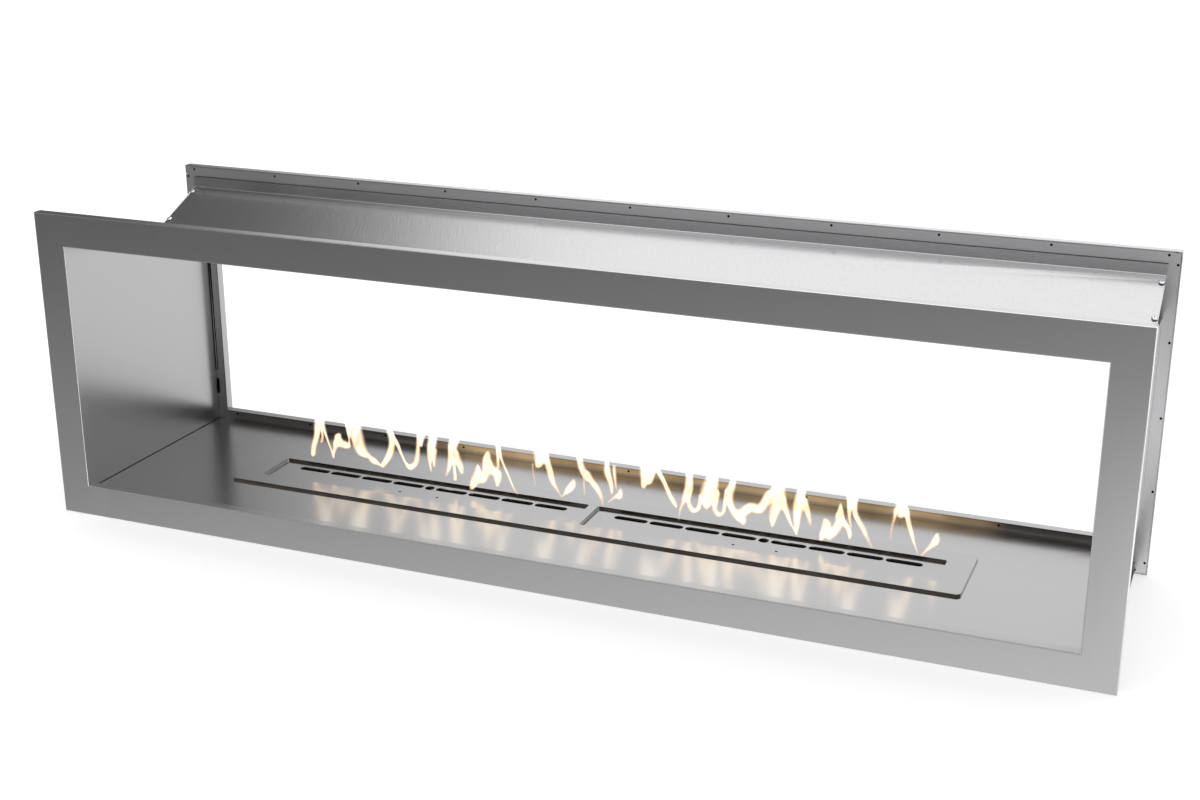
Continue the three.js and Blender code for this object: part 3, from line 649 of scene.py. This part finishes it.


# Flames: burning alcohol vapour over the slots, cream at its heart, orange at its edges, and lost in the
# air at its top. Each tongue is drawn as strokes, with points in millimetres: across, up, and half the
# stroke's width. Nothing fixes them, and they ride on the burners.
flame_strokes = {
    "left": [
        [(-492, 64, 3.5), (-491, 78, 3.4), (-488, 95, 4), (-486, 112, 7), (-481, 127, 11),
         (-480, 150, 7), (-484, 185, 3)],
        [(-455, 64, 2.6), (-458, 78, 2.6), (-463, 91, 3), (-468, 104, 4.5), (-473, 120, 7),
         (-474, 130, 8), (-470, 165, 4)],
        [(-481, 84, 2), (-478, 96, 3), (-478, 112, 4)],
        [(-454, 67, 2.6), (-450, 80, 3), (-447, 92, 5), (-447, 100, 4)],
        [(-446, 90, 5.5), (-439, 86, 6), (-432, 84, 5.5), (-427, 90, 3), (-425, 100, 3), (-423, 112, 6),
         (-418, 127, 11)],
        [(-421, 186, 3), (-417, 150, 10), (-417, 127, 13), (-413, 112, 11), (-409, 100, 10),
         (-406, 90, 9.5), (-402, 82, 8), (-396, 76, 4.5), (-389, 70, 3), (-383, 64, 4.5),
         (-377, 61, 3.5), (-369, 59, 2.8), (-362, 64, 4.2), (-354, 75, 4.5), (-350, 88, 4.3),
         (-349, 104, 4.6), (-353, 122, 5), (-354, 130, 5), (-350, 165, 2.5)],
        [(-350, 124, 3.5), (-345, 110, 6), (-338, 102, 7.5), (-333, 92, 6), (-328, 82, 4.5),
         (-322, 73, 4), (-315, 68, 5), (-308, 69, 4.5), (-303, 77, 3.2), (-302, 95, 2.8), (-301, 115, 3),
         (-298, 128, 3.5), (-292, 165, 2)],
        [(-296, 104, 3), (-293, 114, 6), (-290, 128, 8), (-288, 165, 4)],
        [(-278, 64, 2.2), (-277, 78, 4), (-275, 92, 6), (-273, 108, 6.5), (-272, 127, 5.5),
         (-271, 180, 2)],
        [(-268, 76, 2), (-268, 100, 3)],
        [(-250, 60, 1.5), (-246, 76, 3.5), (-243, 90, 6), (-238, 104, 9), (-234, 118, 8), (-232, 128, 7),
         (-231, 180, 2.5)],
        [(-237, 54, 2.8), (-236, 72, 4), (-235, 88, 6), (-234, 100, 8)],
        [(-219, 72, 2.5), (-222, 82, 4.5), (-227, 92, 6), (-231, 102, 7)],
        [(-203, 47, 3), (-199, 58, 7), (-194, 70, 9), (-193, 78, 7), (-193, 84, 3)],
        [(-190, 60, 7), (-182, 68, 8), (-176, 82, 7.5), (-176, 97, 6), (-176, 110, 2)],
        [(-174, 92, 5), (-168, 82, 5.5), (-161, 76, 6), (-159, 66, 4), (-159, 57, 2)],
        [(-157, 128, 6), (-159, 115, 4), (-160, 100, 3), (-160, 86, 2)],
        [(-157, 180, 3), (-157, 145, 6), (-155, 122, 5.5), (-152, 104, 4.2), (-147, 92, 3.6),
         (-140, 80, 3.2), (-134, 68, 2.6), (-128, 57, 1.8), (-122, 50, 1.2)],
        [(-84, 182, 3), (-84, 150, 8), (-84, 127, 11), (-84, 113, 9), (-86, 103, 4.5)],
        [(-77, 118, 5), (-74, 105, 4.5), (-70, 92, 4.5), (-67, 80, 3.6), (-63, 70, 2.6), (-57, 60, 1.6),
         (-52, 52, 1)],
        [(-95, 104, 1.4), (-95, 85, 1.4), (-94, 66, 1)],
        [(-50, 53, 1.2), (-42, 62, 2.4), (-35, 70, 5), (-31, 75, 5.5), (-29, 84, 2)],
        [(-19, 182, 3), (-19, 145, 7), (-18, 126, 7.5), (-16, 112, 9), (-11, 100, 10), (-6, 92, 5)],
        [(-4, 100, 7), (3, 91, 4.5), (10, 82, 3.6), (16, 72, 2.6), (20, 62, 1.6), (22, 54, 1)],
        [(-12, 90, 1.6), (-13, 76, 1.5), (-12, 62, 1)],
    ],
    "right": [
        [(29, 170, 1.5), (29, 132, 3), (28, 118, 6), (28, 105, 9), (31, 94, 7), (33, 84, 4.5),
         (33, 70, 1.6)],
        [(41, 120, 2), (42, 106, 2.8), (43, 95, 2.4), (44, 82, 1.4)],
        [(30, 57, 1.2), (40, 66, 2.4), (48, 71, 5), (51, 75, 4.5), (52, 84, 1.6)],
        [(95, 182, 3), (94, 150, 9), (95, 128, 12), (92, 115, 9), (91, 103, 7), (88, 94, 3.6)],
        [(101, 116, 4), (98, 102, 3.6)],
        [(104, 132, 6), (110, 117, 4.5), (117, 107, 5), (124, 95, 5.5), (130, 84, 6), (136, 76, 6),
         (141, 70, 3)],
        [(160, 182, 3), (160, 150, 7), (160, 127, 7.5), (160, 112, 7.5), (159, 98, 7), (156, 86, 5.5),
         (153, 77, 2.6), (150, 68, 1.8), (147, 55, 1.2), (145, 46, 1)],
        [(158, 92, 4), (159, 80, 2.6), (162, 70, 2.6), (168, 63, 3.2), (174, 67, 3.2), (178, 78, 3.4),
         (182, 90, 5)],
        [(197, 184, 3), (197, 152, 7), (197, 127, 9), (195, 112, 11.5), (192, 98, 13), (190, 88, 12),
         (190, 79, 6)],
        [(202, 96, 6), (202, 84, 4), (203, 72, 2.6), (209, 64, 2.8), (214, 68, 2.6), (216, 80, 3),
         (219, 92, 4.5), (223, 103, 6)],
        [(231, 130, 2), (229, 116, 5), (226, 105, 7), (225, 95, 8), (227, 84, 8), (233, 75, 8),
         (241, 69, 8), (247, 64, 5), (250, 57, 1.6)],
        [(240, 72, 7), (247, 75, 8), (255, 81, 8), (264, 82, 9), (273, 86, 8), (280, 95, 7),
         (287, 108, 8)],
        [(301, 186, 3.5), (301, 158, 9), (300, 128, 12.5), (300, 112, 14), (299, 98, 13), (296, 86, 8),
         (294, 74, 5), (294, 62, 2)],
        [(306, 104, 9), (311, 90, 7.5), (315, 80, 5), (319, 71, 3.5), (325, 62, 2.4), (331, 54, 1.2)],
        [(337, 182, 2.5), (336, 150, 5), (335, 127, 6), (333, 112, 7), (332, 98, 8), (331, 84, 5.5),
         (331, 68, 4), (331, 55, 1.6)],
        [(338, 104, 6), (343, 92, 4), (347, 80, 2.6), (350, 68, 1.2)],
        [(366, 48, 2.4), (370, 58, 6), (375, 68, 8), (376, 77, 6.5), (374, 84, 3)],
        [(380, 60, 7), (388, 68, 6.5), (393, 80, 6), (394, 92, 6), (394, 102, 3.5), (394, 110, 1.5)],
        [(392, 90, 5), (400, 80, 5), (406, 74, 5.5), (409, 66, 4), (409, 56, 1.6)],
        [(412, 182, 2.5), (412, 150, 6), (411, 128, 7), (410, 115, 4.5), (409, 102, 3.2), (410, 90, 2.4),
         (412, 79, 1.6)],
        [(416, 128, 3.5), (416, 112, 3.2), (418, 100, 3.4), (423, 90, 3), (430, 78, 2.8), (435, 67, 2),
         (440, 57, 1.4), (444, 49, 1)],
        [(483, 184, 3), (483, 152, 8), (483, 128, 11), (485, 114, 9.5), (482, 104, 4)],
        [(491, 116, 6), (494, 104, 4.5), (497, 92, 4.5), (501, 80, 3.6), (504, 70, 2.6), (508, 60, 1.8),
         (512, 51, 1)],
        [(475, 112, 3), (474, 100, 2), (472, 86, 1.3), (472, 70, 1)],
        [(518, 52, 1.2), (524, 60, 2), (531, 67, 3.6), (535, 73, 5.5), (537, 84, 1.8)],
    ],
}
flame_plane = 25.5 * mm
flame_wave = 6 * mm
flame_wave_length = 46        # this and the lengths below are in millimetres, as the strokes are
flame_wave_rise = 130
flame_fade = 150
flame_tip = 186
flame_pales_from, flame_pale = 88, 124
flame_step = 2
flame_cell = 1.5
flame_core = 4
flame_heart = 0.6
flame_thickest = 0.36
flame_glow = 3.7
wisp_size = (7 * mm, 30 * mm, 22 * mm)
wisp_thin, wisp_thick = 0.72, 1.12


def flame_gas():
    """Burning alcohol vapour: clear gas that glows, orange where it is thin, cream at its heart and almost
    white higher up, with paler and darker wisps, so that it is lost before anything white. U is the depth
    inside the flame and V the height over the floor, as a share of the tip's."""
    material, tree = new_material("burning_alcohol_vapour")
    place = add(tree, "ShaderNodeUVMap", {}).outputs["UV"]
    split = add(tree, "ShaderNodeSeparateXYZ", {"Vector": place})
    depth, up = split.outputs["X"], split.outputs["Y"]
    grown = {}
    for name, value, start, end in (
        ("heart", depth, 0, flame_heart),
        ("below_fade", up, 1, flame_fade / flame_tip),
        ("paler", up, flame_pales_from / flame_tip, flame_pale / flame_tip),
    ):
        grown[name] = add(tree, "ShaderNodeMapRange", {
            "Value": value, "From Min": start, "From Max": end,
        }, interpolation_type="SMOOTHSTEP").outputs["Result"]
    wisps = add(tree, "ShaderNodeMapRange", {
        "Value": grain(tree, wisp_size, 2), "From Min": noise_low, "From Max": noise_high,
        "To Min": wisp_thin, "To Max": wisp_thick,
    }).outputs["Result"]
    thick = grown["heart"]
    for share in (wisps, grown["below_fade"]):
        thick = add(tree, "ShaderNodeMath", {0: thick, 1: share}, operation="MULTIPLY").outputs["Value"]
    colour = add(tree, "ShaderNodeMix", {
        "Factor": thick, "A": linear("#FFB56A"), "B": linear("#FFE8C2"),
    }, data_type="RGBA").outputs["Result"]
    colour = add(tree, "ShaderNodeMix", {
        "Factor": grown["paler"], "A": colour, "B": linear("#FFF6E4"),
    }, data_type="RGBA").outputs["Result"]
    cover = add(tree, "ShaderNodeMath", {
        0: thick, 1: flame_thickest,
    }, operation="MULTIPLY").outputs["Value"]
    gas = add(tree, "ShaderNodeBsdfPrincipled", {
        "Base Color": linear("#000000"), "Roughness": 1, "Specular IOR Level": 0, "Alpha": cover,
        "Emission Color": colour, "Emission Strength": flame_glow,
    })
    add(tree, "ShaderNodeOutputMaterial", {"Surface": gas.outputs["BSDF"]})
    return material


def smooth_path(points, step):
    """Points along a smooth curve through the given ones."""
    path = [Vector(p) for p in points]
    ends = [2 * path[0] - path[1]] + path + [2 * path[-1] - path[-2]]
    curve = []
    for a, b, c, d in zip(ends, ends[1:], ends[2:], ends[3:]):
        count = max(2, int((c - b).length / step))
        for i in range(count):
            t = i / count
            curve.append(0.5 * (2 * b + (c - a) * t + (2 * a - 5 * b + 4 * c - d) * t * t
                                + (3 * b - a - 3 * c + d) * t * t * t))
    return curve + [path[-1]]


def draw_stroke(depths, points):
    """Adds a stroke to the depths inside the flame, at the corners of a grid. A thin stroke is faint, and
    strokes that meet melt into one."""
    own = {}
    for across, up, half in smooth_path(points, flame_step):
        heart = min(1, half / flame_core)
        half += flame_cell
        reach = int(half / flame_cell) + 1
        column, row_up = round(across / flame_cell), round(up / flame_cell)
        for i in range(column - reach, column + reach + 1):
            for j in range(row_up - reach, row_up + reach + 1):
                away = math.hypot(i * flame_cell - across, j * flame_cell - up)
                if away < half:
                    own[i, j] = max(own.get((i, j), 0), heart * (1 - away / half))
    for place, depth in own.items():
        depths[place] = min(depths.get(place, 0) + depth, 1)


def flame_sheet(name, strokes):
    """One wavy sheet of gas over a burner, with the depth inside the flame in its UV map."""
    depths = {}
    for points in strokes:
        draw_stroke(depths, points)
    bm = bmesh.new()
    uv = bm.loops.layers.uv.new("depth_and_height")
    corners = {}

    def corner(i, j):
        if (i, j) not in corners:
            x, z = i * flame_cell, j * flame_cell
            turn = 2 * math.pi * (x / flame_wave_length + z / flame_wave_rise)
            corners[i, j] = bm.verts.new((x * mm, flame_plane + flame_wave * math.sin(turn), z * mm))
        return corners[i, j]

    cells = {(i - back, j - down) for i, j in depths for back in (0, 1) for down in (0, 1)}
    for i, j in sorted(cells):
        around = [(i, j), (i + 1, j), (i + 1, j + 1), (i, j + 1)]
        face = bm.faces.new([corner(*place) for place in around])
        face.smooth = True
        for loop, place in zip(face.loops, around):
            loop[uv].uv = (depths.get(place, 0), min(place[1] * flame_cell / flame_tip, 1))
    mesh = bpy.data.meshes.new(name)
    bm.to_mesh(mesh)
    bm.free()
    return mesh


gas_material = flame_gas()
for side, strokes in flame_strokes.items():
    mesh = flame_sheet(f"flames_{side}", strokes)
    mesh.materials.append(gas_material)
    flames = bpy.data.objects.new(f"flames_{side}", mesh)
    bpy.context.scene.collection.objects.link(flames)
    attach(flames, f"burner_{side}")


# Studio floor: a pale matte floor that stays white to the camera and in the steel, but keeps the object's
# shadow.
floor_reach = 20
floor_below = 0.2 * mm
floor_lift = 0.39


def pale_floor():
    """A pale matte floor, with the light that it lacks to be white added only where it is seen."""
    material, tree = new_material("pale_studio_floor")
    path = add(tree, "ShaderNodeLightPath", {})
    seen = path.outputs["Is Camera Ray"]
    for ray in ("Is Glossy Ray", "Is Transmission Ray"):
        seen = add(tree, "ShaderNodeMath", {
            0: seen, 1: path.outputs[ray],
        }, operation="ADD").outputs["Value"]
    lift = add(tree, "ShaderNodeMath", {0: seen, 1: floor_lift}, operation="MULTIPLY").outputs["Value"]
    matte = add(tree, "ShaderNodeBsdfDiffuse", {"Color": linear("#E8E8E8")})
    glow = add(tree, "ShaderNodeEmission", {"Color": linear("#FFFFFF"), "Strength": lift})
    both = add(tree, "ShaderNodeAddShader", {0: matte.outputs["BSDF"], 1: glow.outputs["Emission"]})
    add(tree, "ShaderNodeOutputMaterial", {"Surface": both.outputs["Shader"]})
    return material


def stage_plane(name, corners, material):
    """A flat studio piece between four corners."""
    mesh = bpy.data.meshes.new(name)
    mesh.from_pydata(corners, [], [(0, 1, 2, 3)])
    mesh.materials.append(material)
    plane = bpy.data.objects.new(name, mesh)
    bpy.context.scene.collection.objects.link(plane)
    return plane


floor_corners = [
    (-floor_reach, -floor_reach, -floor_below), (floor_reach, -floor_reach, -floor_below),
    (floor_reach, floor_reach, -floor_below), (-floor_reach, floor_reach, -floor_below),
]
stage_plane("studio_floor", floor_corners, pale_floor())


# Studio cards and tent: steel shows little but what it mirrors, so cards and a tent stand round it, as a
# photographer sets them up. Only the steel's mirror images show them, and they light and shade nothing.
card_reach = 12
card_height = 1 * mm
front_edge = cad_box[0][1]
white_card_glow = 3.5
white_x, white_near, white_far, white_top = -738 * mm, -211 * mm, -234 * mm, 440 * mm
gold_reach, gold_low, gold_high, gold_y = 768 * mm, 35 * mm, 58 * mm, 178 * mm
gold_patches = (70 * mm, 1, 40 * mm)
gold_fades = (-400 * mm, -270 * mm), (620 * mm, 520 * mm)
left_cloth_glow = 0.155
tent_radius = 30
tent_sides, tent_rings = 64, 32


def only_mirrored(piece):
    """A studio card that shows in the steel alone, and neither lights nor shades anything."""
    piece.visible_camera = False
    piece.visible_diffuse = False
    piece.visible_transmission = False
    piece.visible_volume_scatter = False
    piece.visible_shadow = False


def front_card():
    """A grey card on the floor before the fireplace, pale near it and brightest on its right. Each row
    grades the light along one way, in metres and in strength."""
    material, tree = new_material("graded_card_in_front")
    place = add(tree, "ShaderNodeTexCoord", {}).outputs["Object"]
    split = add(tree, "ShaderNodeSeparateXYZ", {"Vector": place})
    x, y = split.outputs["X"], split.outputs["Y"]
    graded = {}
    for name, value, start, end, low, high in (
        ("near", x, -0.9, 0.85, 0.48, 1.0),
        ("far", x, -2.1, 0.7, 0.148, 0.29),
        ("outwards", y, -0.22, -1.75, 0, 1),
        ("right", x, side_reach + 10 * mm, side_reach + 60 * mm, 0, 1.2),
        ("before", y, -0.24, -0.34, 0, 1),
    ):
        graded[name] = add(tree, "ShaderNodeMapRange", {
            "Value": value, "From Min": start, "From Max": end, "To Min": low, "To Max": high,
        }).outputs["Result"]
    beside = add(tree, "ShaderNodeMath", {
        0: graded["right"], 1: graded["before"], 2: 1,
    }, operation="MULTIPLY_ADD").outputs["Value"]
    near = add(tree, "ShaderNodeMath", {
        0: graded["near"], 1: beside,
    }, operation="MULTIPLY").outputs["Value"]
    strength = add(tree, "ShaderNodeMix", {
        "Factor": graded["outwards"], "A": near, "B": graded["far"],
    }).outputs["Result"]
    glow = add(tree, "ShaderNodeEmission", {"Color": linear("#FFFFFF"), "Strength": strength})
    add(tree, "ShaderNodeOutputMaterial", {"Surface": glow.outputs["Emission"]})
    return material


def tent():
    """A white tent over the fireplace: brightest overhead, with a black cloth on its left, a low dark cloth
    behind the camera, and a grey one on its right with a lamp at its far end. Each row grades the light
    along one way from the middle of the tent."""
    material, tree = new_material("graded_studio_tent")
    place = add(tree, "ShaderNodeTexCoord", {}).outputs["Object"]
    way = add(tree, "ShaderNodeVectorMath", {0: place}, operation="NORMALIZE").outputs["Vector"]
    split = add(tree, "ShaderNodeSeparateXYZ", {"Vector": way})
    x, y, z = split.outputs["X"], split.outputs["Y"], split.outputs["Z"]
    graded = {}
    for name, value, start, end, low, high, change in (
        ("overhead", z, 0.45, 0.75, 1.0, 1.62, "LINEAR"),
        ("grey_right", x, 0.3, 0.55, 1.0, 0.54, "LINEAR"),
        ("less_behind", y, -0.15, 0.05, 0.84, 1.0, "SMOOTHSTEP"),
        ("low_left", x, -0.6, -0.42, 0.08, 1.0, "LINEAR"),
        ("far_left", x, -0.74, -0.9, 0, 0.36, "SMOOTHSTEP"),
        ("past_left_cloth", x, -0.52, -0.385, 0, 1, "SMOOTHSTEP"),
        ("over_left_cloth", z, 0.45, 0.7, 0, 1, "SMOOTHSTEP"),
        ("behind_camera", z, 0.04, 0.16, 0.45, 0.2, "SMOOTHSTEP"),
        ("over_that_cloth", z, 0.45, 0.6, 0, 1, "SMOOTHSTEP"),
        ("to_camera", y, -0.35, -0.6, 0, 1, "SMOOTHSTEP"),
        ("lamp_right", x, 0.78, 0.84, 0, 2.6, "SMOOTHSTEP"),
        ("lamp_before", y, 0, -0.25, 0, 1, "LINEAR"),
    ):
        graded[name] = add(tree, "ShaderNodeMapRange", {
            "Value": value, "From Min": start, "From Max": end, "To Min": low, "To Max": high,
        }, interpolation_type=change).outputs["Result"]
    bright = graded["overhead"]
    for share in ("grey_right", "less_behind"):
        bright = add(tree, "ShaderNodeMath", {
            0: bright, 1: graded[share],
        }, operation="MULTIPLY").outputs["Value"]
    low = add(tree, "ShaderNodeMath", {
        0: graded["low_left"], 1: graded["far_left"],
    }, operation="ADD").outputs["Value"]
    low = add(tree, "ShaderNodeMath", {
        0: low, 1: graded["grey_right"],
    }, operation="MULTIPLY").outputs["Value"]
    high = add(tree, "ShaderNodeMix", {
        "Factor": graded["past_left_cloth"], "A": left_cloth_glow, "B": bright,
    }).outputs["Result"]
    round_it = add(tree, "ShaderNodeMix", {
        "Factor": graded["over_left_cloth"], "A": low, "B": high,
    }).outputs["Result"]
    front = add(tree, "ShaderNodeMix", {
        "Factor": graded["over_that_cloth"], "A": graded["behind_camera"], "B": bright,
    }).outputs["Result"]
    strength = add(tree, "ShaderNodeMix", {
        "Factor": graded["to_camera"], "A": round_it, "B": front,
    }).outputs["Result"]
    lamp = add(tree, "ShaderNodeMath", {
        0: graded["lamp_right"], 1: graded["lamp_before"],
    }, operation="MULTIPLY").outputs["Value"]
    strength = add(tree, "ShaderNodeMath", {0: strength, 1: lamp}, operation="ADD").outputs["Value"]
    glow = add(tree, "ShaderNodeEmission", {"Color": linear("#FFFFFF"), "Strength": strength})
    add(tree, "ShaderNodeOutputMaterial", {"Surface": glow.outputs["Emission"]})
    return material


def one_sided(tree, colour, strength):
    """A glow that only shows to what the front of a card faces."""
    glow = add(tree, "ShaderNodeEmission", {"Color": colour, "Strength": strength})
    clear = add(tree, "ShaderNodeBsdfTransparent", {})
    back = add(tree, "ShaderNodeNewGeometry", {}).outputs["Backfacing"]
    side = add(tree, "ShaderNodeMixShader", {
        0: back, 1: glow.outputs["Emission"], 2: clear.outputs["BSDF"],
    })
    add(tree, "ShaderNodeOutputMaterial", {"Surface": side.outputs["Shader"]})


def white_card():
    """A bright white card for the line along the left bend."""
    material, tree = new_material("white_reflector_card")
    one_sided(tree, linear("#FFFFFF"), white_card_glow)
    return material


def painted_flame_reflection_card():
    """A glowing strip before the rear lip, dark, and patchy gold behind the flames: a painted reflection of
    the flames, for the lip to mirror.
    """
    material, tree = new_material("painted_flame_reflection_strip")
    place = add(tree, "ShaderNodeTexCoord", {}).outputs["Object"]
    x = add(tree, "ShaderNodeSeparateXYZ", {"Vector": place}).outputs["X"]
    patches = add(tree, "ShaderNodeMapRange", {
        "Value": grain(tree, gold_patches, 3), "From Min": noise_low, "From Max": noise_high,
    }).outputs["Result"]
    gold = add(tree, "ShaderNodeMix", {
        "Factor": patches, "A": linear("#A4885F"), "B": linear("#F0CC98"),
    }, data_type="RGBA").outputs["Result"]
    behind_flames = 1
    for start, end in gold_fades:
        inside = add(tree, "ShaderNodeMapRange", {
            "Value": x, "From Min": start, "From Max": end,
        }, interpolation_type="SMOOTHSTEP").outputs["Result"]
        behind_flames = add(tree, "ShaderNodeMath", {
            0: behind_flames, 1: inside,
        }, operation="MULTIPLY").outputs["Value"]
    colour = add(tree, "ShaderNodeMix", {
        "Factor": behind_flames, "A": linear("#423D3A"), "B": gold,
    }, data_type="RGBA").outputs["Result"]
    one_sided(tree, colour, 1)
    return material


front_corners = [
    (-card_reach, -card_reach, card_height), (card_reach, -card_reach, card_height),
    (card_reach, front_edge, card_height), (-card_reach, front_edge, card_height),
]
only_mirrored(stage_plane("front_card", front_corners, front_card()))
white_corners = [
    (white_x, white_far, card_height), (white_x, white_far, white_top),
    (white_x, white_near, white_top), (white_x, white_near, card_height),
]
only_mirrored(stage_plane("reflector_card", white_corners, white_card()))
# The gold strip is a painted reflection of the flames, for the rear lip to mirror.
gold_corners = [
    (-gold_reach, gold_y, gold_low), (-gold_reach, gold_y, gold_high),
    (gold_reach, gold_y, gold_high), (gold_reach, gold_y, gold_low),
]
only_mirrored(stage_plane("painted_flame_reflection_card", gold_corners, painted_flame_reflection_card()))
tent_mesh = bpy.data.meshes.new("studio_tent")
tent_shape = bmesh.new()
bmesh.ops.create_uvsphere(tent_shape, u_segments=tent_sides, v_segments=tent_rings, radius=tent_radius)
below = [corner for corner in tent_shape.verts if corner.co.z < -mm]
bmesh.ops.delete(tent_shape, geom=below, context="VERTS")
tent_shape.to_mesh(tent_mesh)
tent_shape.free()
tent_mesh.materials.append(tent())
studio_tent = bpy.data.objects.new("studio_tent", tent_mesh)
bpy.context.scene.collection.objects.link(studio_tent)
only_mirrored(studio_tent)


# World and camera: an even white world lights the object. The camera stands to the right of the front,
# above the hood, and looks down at it.
world = bpy.data.worlds.new("white_studio")
world.use_nodes = True
world.node_tree.nodes.clear()
background = add(world.node_tree, "ShaderNodeBackground", {"Color": linear("#FFFFFF"), "Strength": 1})
add(world.node_tree, "ShaderNodeOutputWorld", {"Surface": background.outputs["Background"]})
bpy.context.scene.world = world

camera_place = (0.94023, -2.26186, 1.07128)
camera_turn = math.radians(22.006)
camera_drop = math.radians(18.991)
camera_lens = 51.637
camera_sensor = 36
camera_data = bpy.data.cameras.new("photo_camera")
camera_data.lens = camera_lens
camera_data.sensor_width = camera_sensor
camera = bpy.data.objects.new("photo_camera", camera_data)
camera.location = camera_place
camera.rotation_euler = (math.pi / 2 - camera_drop, 0, camera_turn)
bpy.context.scene.collection.objects.link(camera)
bpy.context.scene.camera = camera
bpy.context.scene.view_settings.view_transform = "Standard"
